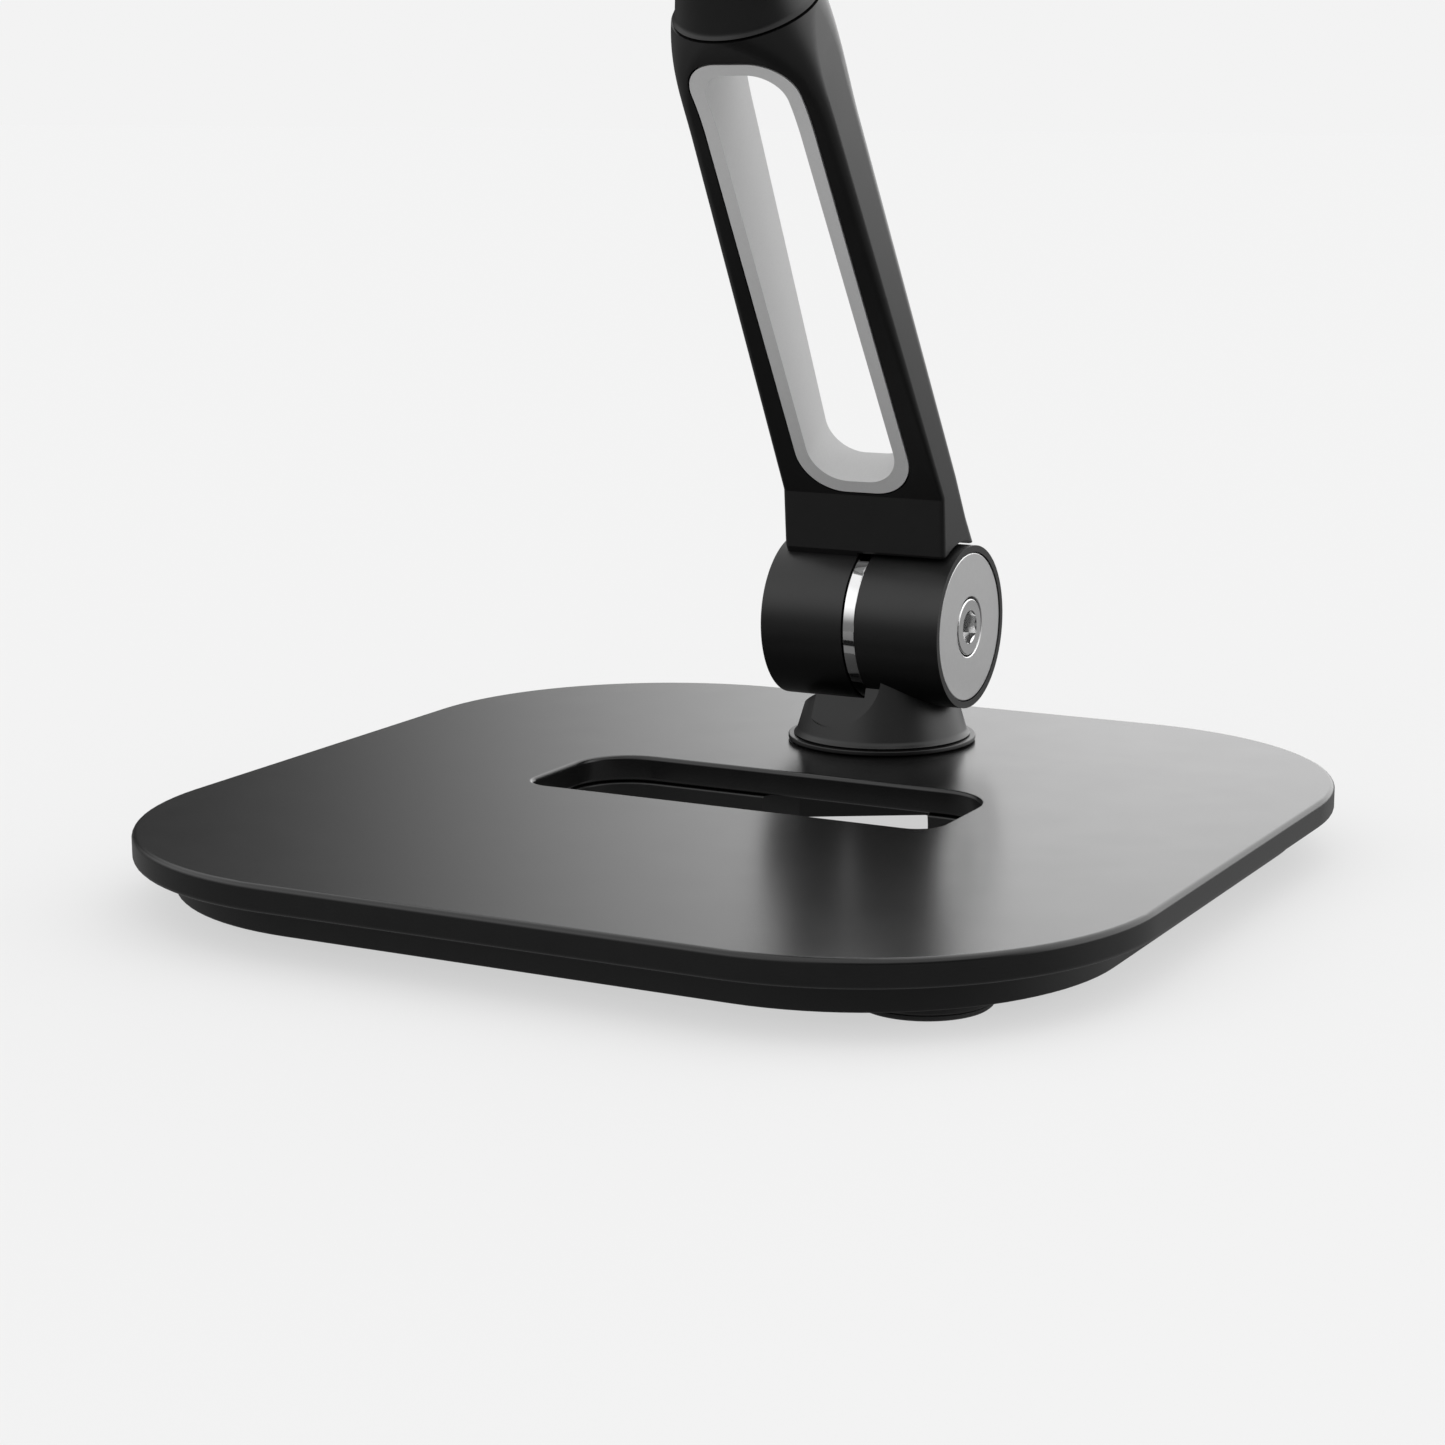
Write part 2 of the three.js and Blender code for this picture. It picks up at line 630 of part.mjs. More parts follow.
const clampGroup = group(clampParts(), { at: [0, -NECK.height - GAP, 0] });
const neckGroup = group([
  piece("neck", neck(), BLACK),
  piece("neck_screw", neckScrew(), STEEL),
], { at: [0, -NECK.height, 0], turnX: -90 });
const headGroup = group([neckGroup, clampGroup, ...hingePin("head", HEAD_HINGE)], {
  at: [0, UPPER.middle, UPPER.length],
  turnX: -UPPER_LEAN,
});
const upperGroup = group([...upperArmParts(), headGroup], { turnX: UPPER_LEAN - LOWER_LEAN });
const elbowPin = group(hingePin("elbow", ELBOW_HINGE));
const elbowGroup = group([
  group([piece("elbow_post", hingePost(ELBOW, ELBOW_HINGE, { radius: 2.8, depth: 5 }), BLACK)], {
    at: [0, 0, -ELBOW.height],
  }),
  elbowPin,
  upperGroup,
], { at: [0, ARM_MIDDLE, ARM_TOP + 0.4 + ELBOW.height] });
const lowerGroup = group([...lowerArmParts(), elbowGroup], { turnX: LOWER_LEAN });
const postGroup = group([
  group([piece("post", post(), BLACK)], { at: [0, 0, -POST.height] }),
  ...hingePin("hinge", HINGE),
  lowerGroup,
], { at: [0, POST_Y, BASE.top + 1.5 + POST.height] });

const feet = cornerPlaces(FOOT.at).map((at, i) => piece(`foot_${i + 1}`, foot(at), RUBBER));
const standing = group([...baseParts(), postGroup], { at: [0, 0, LIFT] });

export default group([...feet, standing]);
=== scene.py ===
"""Looks for the articulated holder stand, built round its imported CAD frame.

Shapes are drawn in millimetres in each sub-assembly's own frame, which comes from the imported
record's joints, and are placed in metres. Local X runs along the hinge pins everywhere."""
import json
import math

import bmesh
import bpy
from mathutils import Matrix, Vector


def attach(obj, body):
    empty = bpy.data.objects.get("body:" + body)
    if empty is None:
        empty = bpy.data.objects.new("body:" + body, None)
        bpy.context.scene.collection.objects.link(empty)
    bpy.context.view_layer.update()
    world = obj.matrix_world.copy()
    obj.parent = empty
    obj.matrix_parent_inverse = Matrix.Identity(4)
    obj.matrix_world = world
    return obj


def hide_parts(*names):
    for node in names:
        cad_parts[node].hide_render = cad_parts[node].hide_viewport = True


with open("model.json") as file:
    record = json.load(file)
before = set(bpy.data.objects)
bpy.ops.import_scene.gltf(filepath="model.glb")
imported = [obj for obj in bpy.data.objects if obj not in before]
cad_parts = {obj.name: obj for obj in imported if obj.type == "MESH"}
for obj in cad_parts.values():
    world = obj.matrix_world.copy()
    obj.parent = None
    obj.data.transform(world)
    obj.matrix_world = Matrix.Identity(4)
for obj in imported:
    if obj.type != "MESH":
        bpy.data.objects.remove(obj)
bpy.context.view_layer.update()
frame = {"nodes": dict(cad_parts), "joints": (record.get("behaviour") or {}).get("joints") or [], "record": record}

# Camera: the view from the front right, a little above the base
CAMERA_AT = Vector((0.26465, -0.50758, 0.14572))
CAMERA_AIM = Vector((-0.00441, -0.00261, 0.02727))
CAMERA_LENS = 79.12
CAMERA_ROLL = math.radians(-0.232)

camera = bpy.data.objects.new("camera", bpy.data.cameras.new("camera"))
bpy.context.scene.collection.objects.link(camera)
bpy.context.scene.camera = camera
camera.data.lens = CAMERA_LENS
camera.data.sensor_width = 36.0
camera.data.clip_start = 0.01
camera.data.clip_end = 200.0
look = (CAMERA_AIM - CAMERA_AT).to_track_quat("-Z", "Y").to_matrix().to_4x4()
camera.matrix_world = Matrix.Translation(CAMERA_AT) @ look @ Matrix.Rotation(CAMERA_ROLL, 4, "Z")

# Frames of the sub-assemblies, from the record's joints
MM = 0.001
JOINTS = {joint["name"]: joint for joint in frame["joints"]}


def pivot(name):
    return Vector(JOINTS[name]["pos_m"])


def place(origin, lean=0.0):
    """A frame in millimetres at origin (metres), turned about X by lean degrees."""
    turn = Matrix.Rotation(math.radians(lean), 4, "X")
    return Matrix.Translation(origin) @ turn @ Matrix.Scale(MM, 4)


def shifted(matrix, x, y, z):
    return matrix @ Matrix.Translation((x, y, z))


arm_way = Vector(JOINTS["collar_swivel"]["axis"])
LOWER_LEAN = math.degrees(math.atan2(-arm_way.y, arm_way.z))
to_head = pivot("head_tilt") - pivot("elbow_tilt")
ARM_MIDDLE = 9.2
ARM_TOP = 131.6
UPPER_MIDDLE = -7.4
UPPER_LENGTH = 125.0
head_lean = math.atan2(-to_head.y, to_head.z)
UPPER_LEAN = math.degrees(head_lean + math.atan2(UPPER_MIDDLE, UPPER_LENGTH))
POST_HEIGHT = 22.6
ELBOW_HEIGHT = 20.0
NECK_HEIGHT = 30.0

LIFT = 0.0015
ON_TABLE = place(Vector((0, 0, 0)))
IN_BASE = place(Vector((0, 0, LIFT)))
IN_SWIVEL = place(Vector((pivot("base_swivel").x, pivot("base_swivel").y, LIFT)))
IN_HINGE = place(pivot("lower_tilt"))
IN_POST = shifted(IN_HINGE, 0, 0, -POST_HEIGHT)
IN_LOWER = place(pivot("lower_tilt"), LOWER_LEAN)
IN_ELBOW = place(pivot("elbow_tilt"), LOWER_LEAN)
IN_ELBOW_POST = shifted(IN_ELBOW, 0, 0, -ELBOW_HEIGHT)
IN_UPPER = place(pivot("elbow_tilt"), UPPER_LEAN)
IN_HEAD = place(pivot("head_tilt"))
IN_NECK = shifted(IN_HEAD, 0, -NECK_HEIGHT, 0) @ Matrix.Rotation(math.radians(-90), 4, "X")
IN_CLAMP = shifted(IN_HEAD, 0, -NECK_HEIGHT - 0.3, 0)


# Material nodes


def new_material(name, sockets):
    """A material with one Principled shader, its plain sockets set by name."""
    material = bpy.data.materials.new(name)
    material.use_nodes = True
    shader = material.node_tree.nodes["Principled BSDF"]
    for socket, value in sockets.items():
        shader.inputs[socket].default_value = value
    return material


def grey(value):
    return (value, value, value, 1.0)


def noise(material, scale, detail=3.0, rough=0.55, stretch=(1, 1, 1)):
    """Object-space noise, its scale in features per metre."""
    nodes, links = material.node_tree.nodes, material.node_tree.links
    where = nodes.new("ShaderNodeTexCoord")
    mapping = nodes.new("ShaderNodeMapping")
    mapping.inputs["Scale"].default_value = stretch
    texture = nodes.new("ShaderNodeTexNoise")
    texture.inputs["Scale"].default_value = scale
    texture.inputs["Detail"].default_value = detail
    texture.inputs["Roughness"].default_value = rough
    links.new(where.outputs["Object"], mapping.inputs["Vector"])
    links.new(mapping.outputs["Vector"], texture.inputs["Vector"])
    return texture.outputs["Fac"]


def spread(material, source, low, high, start=0.1, stop=0.9):
    """Maps a noise value onto the range low to high."""
    nodes, links = material.node_tree.nodes, material.node_tree.links
    ranged = nodes.new("ShaderNodeMapRange")
    ranged.inputs["From Min"].default_value = start
    ranged.inputs["From Max"].default_value = stop
    ranged.inputs["To Min"].default_value = low
    ranged.inputs["To Max"].default_value = high
    links.new(source, ranged.inputs["Value"])
    return ranged.outputs["Result"]


def tint(material, source, dark, light):
    """Colours the base between two greys by a noise value."""
    nodes, links = material.node_tree.nodes, material.node_tree.links
    blend = nodes.new("ShaderNodeMix")
    blend.data_type = "RGBA"
    blend.inputs["A"].default_value = dark
    blend.inputs["B"].default_value = light
    links.new(spread(material, source, 0.0, 1.0), blend.inputs["Factor"])
    links.new(blend.outputs["Result"], nodes["Principled BSDF"].inputs["Base Color"])


def dull(material, source, low, high):
    """Spreads the roughness between two values by a noise value."""
    links = material.node_tree.links
    shader = material.node_tree.nodes["Principled BSDF"]
    links.new(spread(material, source, low, high), shader.inputs["Roughness"])


def bumps(material, layers):
    """Chains bump nodes: each layer is (height source, height in metres)."""
    nodes, links = material.node_tree.nodes, material.node_tree.links
    normal = None
    for source, height in layers:
        bump = nodes.new("ShaderNodeBump")
        bump.inputs["Strength"].default_value = 1.0
        bump.inputs["Distance"].default_value = height
        links.new(source, bump.inputs["Height"])
        if normal is not None:
            links.new(normal, bump.inputs["Normal"])
        normal = bump.outputs["Normal"]
    links.new(normal, nodes["Principled BSDF"].inputs["Normal"])


def satin_black(name, low, high, speckle=0.0000012):
    """Black satin coat: a fine orange-peel and speckle, with slow changes of sheen."""
    material = new_material(name, {"Metallic": 0.0, "IOR": 1.5})
    tint(material, noise(material, 260, 4), grey(0.0035), grey(0.0055))
    dull(material, noise(material, 90, 3), low, high)
    bumps(material, [(noise(material, 9000, 2), speckle), (noise(material, 1500, 2), speckle * 1.5)])
    return material


def liner_grey():
    material = new_material("liner_grey", {"Metallic": 0.0, "IOR": 1.45, "Specular IOR Level": 0.35})
    tint(material, noise(material, 2600, 4, 0.7), grey(0.5), grey(0.56))
    dull(material, noise(material, 400, 3), 0.62, 0.78)
    bumps(material, [(noise(material, 5200, 3, 0.6), 0.000006)])
    return material


def bare_metal(name, tone, low, high, stretch=(1, 1, 1), grain=0.0000012):
    material = new_material(name, {"Metallic": 1.0, "IOR": 1.5})
    tint(material, noise(material, 900, 3), grey(tone * 0.94), grey(tone))
    dull(material, noise(material, 700, 4, 0.6, stretch), low, high)
    bumps(material, [(noise(material, 6000, 2, 0.5, stretch), grain)])
    return material


def coloured(name, colour, metallic, low, high, grain=0.000004, scale=3500):
    material = new_material(name, {"Metallic": metallic})
    dark = tuple(c * 0.88 for c in colour) + (1.0,)
    tint(material, noise(material, 1200, 4), dark, tuple(colour) + (1.0,))
    dull(material, noise(material, 500, 3), low, high)
    bumps(material, [(noise(material, scale, 3, 0.6), grain)])
    return material


BASE_COAT = satin_black("base_coat", 0.23, 0.26)
BALLAST_COAT = satin_black("ballast_coat", 0.34, 0.42, 0.000002)
SATIN = satin_black("satin_black", 0.33, 0.39)
LINER = liner_grey()
SILVER = bare_metal("spun_silver", 0.74, 0.32, 0.38)
CHROME = bare_metal("chrome", 0.78, 0.04, 0.07, grain=0.0000002)
STEEL = bare_metal("zinc_steel", 0.8, 0.12, 0.16, grain=0.0000006)
BRASS = coloured("brass", (0.6, 0.42, 0.18), 1.0, 0.25, 0.35, 0.000001)
RUBBER = coloured("foot_rubber", (0.012, 0.012, 0.012), 0.0, 0.6, 0.75)
PLASTIC = coloured("black_plastic", (0.009, 0.009, 0.0095), 0.0, 0.42, 0.52)
PAD = coloured("soft_pad", (0.2, 0.2, 0.205), 0.0, 0.7, 0.85, 0.000012, 2600)

SLOT_LOOKS = {
    "base_coat": BASE_COAT,
    "ballast_coat": BALLAST_COAT,
    "satin_black": SATIN,
    "rubber": RUBBER,
    "liner": LINER,
    "silver": SILVER,
    "chrome": CHROME,
    "brass": BRASS,
    "black_plastic": PLASTIC,
    "pad": PAD,
    "steel": STEEL,
}
NODE_SLOTS = {part["node"]: part["material_slot"] for part in frame["record"]["subparts"]}
BODIES = frame["record"]["behaviour"]["bodies"]
NODE_BODY = {node: body for body, nodes in BODIES.items() for node in nodes}

for node, thing in frame["nodes"].items():
    thing.data.materials.clear()
    thing.data.materials.append(SLOT_LOOKS[NODE_SLOTS[node]])


# Outlines and solids, in millimetres


def rounded(corners, radii, steps=8):
    """A closed outline of (x, y) corners, each rounded to its radius."""
    points = []
    count = len(corners)
    for i, corner in enumerate(corners):
        here = Vector(corner)
        before = (Vector(corners[i - 1]) - here).normalized()
        after = (Vector(corners[(i + 1) % count]) - here).normalized()
        radius = radii[i] if isinstance(radii, (list, tuple)) else radii
        if radius <= 0:
            points.append(here)
            continue
        half = before.angle(after) / 2
        reach = radius / math.tan(half)
        centre = here + (before + after).normalized() * (radius / math.sin(half))
        first = here + before * reach - centre
        last = here + after * reach - centre
        sweep = math.atan2(first.x * last.y - first.y * last.x, first.dot(last))
        for step in range(steps + 1):
            points.append(centre + Matrix.Rotation(sweep * step / steps, 2) @ first)
    return points


def box2d(left, front, right, back):
    return [(left, front), (right, front), (right, back), (left, back)]


def mesh_from(points, faces):
    """A clean mesh from points and faces, its faces pointing out."""
    mesh = bpy.data.meshes.new("shape")
    mesh.from_pydata([tuple(p) for p in points], [], faces)
    form = bmesh.new()
    form.from_mesh(mesh)
    bmesh.ops.remove_doubles(form, verts=form.verts, dist=1e-4)
    bmesh.ops.recalc_face_normals(form, faces=form.faces)
    form.to_mesh(mesh)
    form.free()
    return mesh


def loft(rings):
    """Skins matching rings of 3-D points and closes both ends."""
    count = len(rings[0])
    points = [p for ring in rings for p in ring]
    faces = []
    for level in range(len(rings) - 1):
        for i in range(count):
            a = level * count + i
            b = level * count + (i + 1) % count
            faces.append((a, b, b + count, a + count))
    faces.append(tuple(range(count))[::-1])
    faces.append(tuple(range((len(rings) - 1) * count, len(rings) * count)))
    return mesh_from(points, faces)


def prism(outline, low, high):
    return loft([[Vector((p[0], p[1], z)) for p in outline] for z in (low, high)])


def slab(outline, low, high, edge, steps=4, hole=False):
    """outline(inset) lifted from low to high with its rims rounded by edge. A hole's cutter
    widens at its rims instead, and runs on past them."""
    side = -1 if hole else 1
    turns = [math.pi / 2 * step / steps for step in range(steps + 1)]
    levels = [(low + edge * (1 - math.cos(turn)), edge * (1 - math.sin(turn))) for turn in turns]
    levels += [(low + high - z, inset) for z, inset in reversed(levels)]
    if hole:
        levels = [(low - 1, edge)] + levels + [(high + 1, edge)]
    return loft([[Vector((p[0], p[1], z)) for p in outline(side * inset)] for z, inset in levels])


def turned(profile, segments=96, soft=0.0, start=0.0):
    """Turns a closed profile of (radius, height) about Z. Corners off the axis are rounded by soft."""
    outline = profile
    if soft > 0:
        radii = [soft if r > 1e-6 else 0 for r, z in profile]
        outline = rounded(profile, radii, 3)
    points = []
    for i in range(segments):
        turn = start + math.tau * i / segments
        points += [Vector((p[0] * math.cos(turn), p[0] * math.sin(turn), p[1])) for p in outline]
    count = len(outline)
    faces = []
    for i in range(segments):
        for j in range(count):
            a = i * count + j
            b = i * count + (j + 1) % count
            c = (i + 1) % segments * count
            faces.append((a, b, c + (j + 1) % count, c + j))
    mesh = bpy.data.meshes.new("turned")
    mesh.from_pydata([tuple(p) for p in points], [], faces)
    form = bmesh.new()
    form.from_mesh(mesh)
    bmesh.ops.remove_doubles(form, verts=form.verts, dist=1e-4)
    flat = [face for face in form.faces if face.calc_area() < 1e-8]
    bmesh.ops.delete(form, geom=flat, context="FACES_ONLY")
    bmesh.ops.dissolve_degenerate(form, edges=form.edges, dist=1e-5)
    bmesh.ops.recalc_face_normals(form, faces=form.faces)
    form.to_mesh(mesh)
    form.free()
    return mesh


def rod(radius, low, high, segments=96, soft=0.0):
    return turned([(0, low), (radius, low), (radius, high), (0, high)], segments, soft)


def tube(inner, outer, low, high, segments=96, soft=0.0):
    return turned([(inner, low), (outer, low), (outer, high), (inner, high)], segments, soft)


def hexagon(across, low, high):
    return rod(across / math.sqrt(3), low, high, 6)


def moved(mesh, x, y, z):
    mesh.transform(Matrix.Translation((x, y, z)))
    return mesh


def along_x(mesh):
    mesh.transform(Matrix.Rotation(math.radians(90), 4, "Y"))
    return mesh


def carve(mesh, operation, *tools):
    """Cuts tools from a mesh, or joins them to it, in turn."""
    thing = bpy.data.objects.new("carved", mesh)
    bpy.context.scene.collection.objects.link(thing)
    helpers = []
    for tool in tools:
        helper = bpy.data.objects.new("tool", tool)
        bpy.context.scene.collection.objects.link(helper)
        modifier = thing.modifiers.new("carve", "BOOLEAN")
        modifier.operation = operation
        modifier.solver = "EXACT"
        modifier.object = helper
        helpers.append(helper)
    made = bpy.data.meshes.new_from_object(thing.evaluated_get(bpy.context.evaluated_depsgraph_get()))
    for helper in helpers + [thing]:
        bpy.data.objects.remove(helper)
    return made


def cut(mesh, *tools):
    return carve(mesh, "DIFFERENCE", *tools)


def join(mesh, *tools):
    return carve(mesh, "UNION", *tools)


def piece(name, mesh, where, slot, *nodes, bevel=0.0, crease=32, steps=3):
    """Places a millimetre mesh in its frame as the shown piece for one or more CAD nodes."""
    nodes = nodes or (name,)
    form = bmesh.new()
    form.from_mesh(mesh)
    bmesh.ops.remove_doubles(form, verts=form.verts, dist=2e-3)
    bmesh.ops.dissolve_limit(form, angle_limit=math.radians(0.4), verts=form.verts, edges=form.edges)
    form.to_mesh(mesh)
    form.free()
    mesh.transform(where)
    mesh.materials.clear()
    mesh.materials.append(SLOT_LOOKS[slot])
    for face in mesh.polygons:
        face.use_smooth = True
    mesh.set_sharp_from_angle(angle=math.radians(crease + 6))
    thing = bpy.data.objects.new("look_" + name, mesh)
    bpy.context.scene.collection.objects.link(thing)
    if bevel > 0:
        modifier = thing.modifiers.new("bevel", "BEVEL")
        modifier.width = bevel * MM
        modifier.segments = steps
        modifier.limit_method = "ANGLE"
        modifier.angle_limit = math.radians(crease)
        modifier.use_clamp_overlap = True
    weighted = thing.modifiers.new("weighted", "WEIGHTED_NORMAL")
    weighted.weight = 80
    weighted.keep_sharp = True
    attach(thing, NODE_BODY[nodes[0]])
    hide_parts(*nodes)
    return thing


# Base. Working gaps are GAP wide, and cutters run on PAST the piece they cut.

GAP = 0.3
PAST = 40
PLATE = dict(half=95.5, corner=53, low=7.0, high=12.0, hole=8.3)
BALLAST = dict(half=88.2, corner=46, low=1.2, high=6.7, well=14.5)
SLOT = dict(left=-43, right=41, front=-10, back=20.5, front_corner=5, back_corner=11)
NOTCH = [(-9, 18), (26.7, 18), (26.7, 21), (17, 41.8), (-4.3, 29)]
POST_Y = 57
FOOT_AT = 64.8
BASE_SCREWS = [(-70, 0), (70, 0), (0, -70), (0, 80)]
FEET = box2d(-FOOT_AT, -FOOT_AT, FOOT_AT, FOOT_AT)


def square(half, corner, steps=24):
    return lambda inset: rounded(
        box2d(-half + inset, -half + inset, half - inset, half - inset), corner - inset, steps
    )


def slot_outline(inset):
    left, front = SLOT["left"] + inset, SLOT["front"] + inset
    right, back = SLOT["right"] - inset, SLOT["back"] - inset
    near, far = SLOT["front_corner"] - inset, SLOT["back_corner"] - inset
    return rounded(box2d(left, front, right, back), [near, near, far, far], 16)


low, high = PLATE["low"], PLATE["high"]
plate = slab(square(PLATE["half"], PLATE["corner"]), low, high, 1.0, 5)
plate = cut(plate, slab(slot_outline, low, high, 0.8, 4, hole=True))
plate = cut(plate, moved(rod(PLATE["hole"], 0, 20), 0, POST_Y, 0))
piece("base_plate", plate, IN_BASE, "base_coat", crease=40)
low, high = BALLAST["low"], BALLAST["high"]
weight = slab(square(BALLAST["half"], BALLAST["corner"]), low, high, 0.5, 3)
notch = prism(rounded(NOTCH, 0.5, 3), -PAST, PAST)
well = moved(rod(BALLAST["well"], 0, 20), 0, POST_Y, 0)
weight = cut(weight, slab(slot_outline, low, high, 0.4, 3, hole=True), notch, well)
weight = cut(weight, *[moved(rod(4.8, 0, 4.5, 48), x, y, 0) for x, y in BASE_SCREWS])
weight = cut(weight, *[moved(rod(3.3, 0, 10, 48), x, y, 0) for x, y in FEET])
piece("base_ballast", weight, IN_BASE, "ballast_coat", crease=40)
for number, (x, y) in enumerate(FEET, 1):
    tread = [(0, 0), (10.8, 0), (11.2, 0.35), (11.2, 0.9), (10.8, 1.0), (10.8, 1.1), (11.6, 1.2)]
    tread += [(11.7, 1.5), (11.6, 2.4), (3, 2.4), (3, 5.9), (0, 5.9)]
    foot = turned(tread, 96, 0.06)
    rings = [tube(r, r + 0.7, -0.5, 0.25, 72) for r in (4, 6.2, 8.4)]
    piece(f"foot_{number}", moved(cut(foot, *rings), x, y, 0), ON_TABLE, "rubber")
for number, (x, y) in enumerate(BASE_SCREWS, 1):
    profile = [(0, 2.3), (4.5, 2.3), (4.5, 4.2), (2, 4.2), (2, 10), (0, 10)]
    screw = cut(turned(profile, 48, 0.15), hexagon(2.5, 0, 3.6))
    piece(f"base_screw_{number}", moved(screw, x, y, 0), IN_BASE, "steel")
ring = turned([(8.6, 12.3), (18.7, 12.3), (18.7, 13.2), (8.6, 13.2)], 128, 0.22)
piece("base_ring", ring, IN_SWIVEL, "satin_black")
piece("swivel_bush", tube(6.3, 8, 7, 13.2, 64, 0.15), IN_SWIVEL, "brass")
piece("swivel_thrust_washer", tube(4.3, 13, 5.7, 6.7, 64, 0.1), IN_SWIVEL, "black_plastic")
piece("swivel_disc_spring", tube(4.3, 9, 4.9, 5.4, 64, 0.08), IN_SWIVEL, "steel")
profile = [(0, 2.3), (7, 2.3), (7, 4.6), (4, 4.6), (4, 17.8), (0, 17.8)]
piece("swivel_bolt", cut(turned(profile, 64, 0.3), hexagon(5, 0, 3.8)), IN_SWIVEL, "steel")

# Hinges: radii of barrel, cap, pin and head, half length, head depth, socket and nut hexagons

HINGE = dict(barrel=16.05, half=19, cap=14.6, pin=4, head=5.55, deep=5, hex=6, nut=13, high=6)
ELBOW = dict(barrel=13, half=16, cap=11.7, pin=3, head=4.8, deep=4, hex=5, nut=10, high=5)
HEAD = dict(barrel=10.5, half=13.5, cap=9.3, pin=2.5, head=4.1, deep=3.2, hex=4, nut=8, high=4)
SOCKET_DEPTH = 2
BARREL_SIDES = 160
RING_HALF = 1.35
KNUCKLE_FACE = 1.5
CAP_THICK = 1.8


def nut_floor(hinge):
    return -hinge["half"] + CAP_THICK + GAP + hinge["high"] + 3.6


def head_bores(hinge):
    return [
        along_x(rod(hinge["cap"] + 0.15, hinge["half"] - CAP_THICK - GAP, PAST)),
        along_x(rod(hinge["head"] + GAP, hinge["half"] - hinge["deep"] - GAP, PAST)),
        along_x(rod(hinge["pin"] + GAP, -PAST, PAST, 64)),
    ]


def nut_bores(hinge):
    return [
        along_x(rod(hinge["cap"] + 0.15, -PAST, -hinge["half"] + CAP_THICK + GAP)),
        along_x(rod(hinge["nut"] / math.sqrt(3) + 0.6, -PAST, nut_floor(hinge), 64)),
        along_x(rod(hinge["pin"] + GAP, -PAST, PAST, 64)),
    ]


def hinge_pin(name, hinge, where, springs=1):
    """The pin with its right cap, friction ring, nut and disc springs."""
    half, pin, head = hinge["half"], hinge["pin"], hinge["head"]
    floor = nut_floor(hinge)
    nut_top = floor - 2.8
    under = half - hinge["deep"]
    face = half - 0.1
    end = nut_top - hinge["high"] - 0.4
    shank = [(0, end), (pin, end), (pin, under), (head, under), (head, face), (0, face)]
    socket = along_x(hexagon(hinge["hex"], half - SOCKET_DEPTH, PAST))
    inner = hinge["hex"] / 2
    funnel = [(0, face - 0.3), (inner, face - 0.3), (inner + 0.8, face + 0.5), (0, face + 0.5)]
    bolt = cut(along_x(turned(shank, 96, 0.3)), socket, along_x(turned(funnel, 64)))
    piece(name + "_pin", bolt, where, "steel")
    disc = [(head + 0.35, half - CAP_THICK), (hinge["cap"], half - CAP_THICK)]
    disc += [(hinge["cap"], half - 0.15), (head + 0.35, half - 0.15)]
    piece(name + "_cap_right", along_x(turned(disc, 128, 0.28)), where, "silver")
    rim = hinge["barrel"] - 0.25
    ring = along_x(tube(pin + GAP, rim, -RING_HALF, RING_HALF, BARREL_SIDES, 0.3))
    piece(name + "_friction_ring", ring, where, "chrome")
    nut = along_x(hexagon(hinge["nut"], nut_top - hinge["high"], nut_top))
    nut = cut(nut, along_x(rod(pin + GAP, -PAST, PAST, 48)))
    piece(name + "_nut", nut, where, "steel", bevel=0.25)
    for number in range(springs):
        at = floor - GAP - 1.2 * number
        spring = along_x(tube(pin + GAP, hinge["nut"] / math.sqrt(3), at - 0.9, at, 64, 0.1))
        piece(f"{name}_disc_spring_{number + 1}", spring, where, "steel")


def cap_left(name, hinge, where):
    disc = along_x(rod(hinge["cap"], -hinge["half"] + 0.15, -hinge["half"] + CAP_THICK, 128, 0.28))
    piece(name + "_cap_left", disc, where, "silver")


def knuckle(hinge, low, high):
    return along_x(rod(hinge["barrel"], low, high, BARREL_SIDES))


def hinge_post(radius, slope, height, hinge, hole, spigot=0.0, recess=None):
    """A cone on a round foot at z = 0, carrying the right knuckle with its pin at z = height. The
    recess is cut from the cone alone."""
    profile = [(0, 0), (radius, 0), (radius - 0.35, 0.4), (radius - 0.62, 0.7), (radius - 0.75, 1.1)]
    profile += [(radius - slope * height, height), (0, height)]
    clear = along_x(rod(hinge["barrel"] + 1.85, -PAST, KNUCKLE_FACE, BARREL_SIDES))
    cone = cut(turned(profile, BARREL_SIDES), moved(clear, 0, 0, height))
    if recess:
        cone = cut(cone, recess)
    cone = join(cone, moved(knuckle(hinge, KNUCKLE_FACE, hinge["half"]), 0, 0, height))
    if spigot:
        cone = join(cone, rod(6, -spigot, 1, 64))
    bores = [moved(bore, 0, 0, height) for bore in head_bores(hinge)]
    return cut(cone, *bores, rod(hole[0], -PAST, hole[1], 48))


POST_RADIUS, POST_SLOPE, SPIGOT = 17.6, 0.32, 6.5
SCOOP_RADIUS, SCOOP_AT = 9.5, (-4.1, -10.5, 11.5)
scoop = rod(SCOOP_RADIUS, 0, 10, 128)
scoop_turn = Matrix.Rotation(math.pi / 2 - math.atan(POST_SLOPE), 4, "X")
scoop.transform(Matrix.Translation(SCOOP_AT) @ scoop_turn)
post = hinge_post(POST_RADIUS, POST_SLOPE, POST_HEIGHT, HINGE, (4.3, 4.6), SPIGOT, scoop)
piece("post", post, IN_POST, "satin_black", bevel=0.35)
hinge_pin("hinge", HINGE, IN_HINGE, springs=2)
post = hinge_post(13.4, 0.3, ELBOW_HEIGHT, ELBOW, (2.8, 5))
piece("elbow_post", post, IN_ELBOW_POST, "satin_black", bevel=0.3)
hinge_pin("elbow", ELBOW, IN_ELBOW)
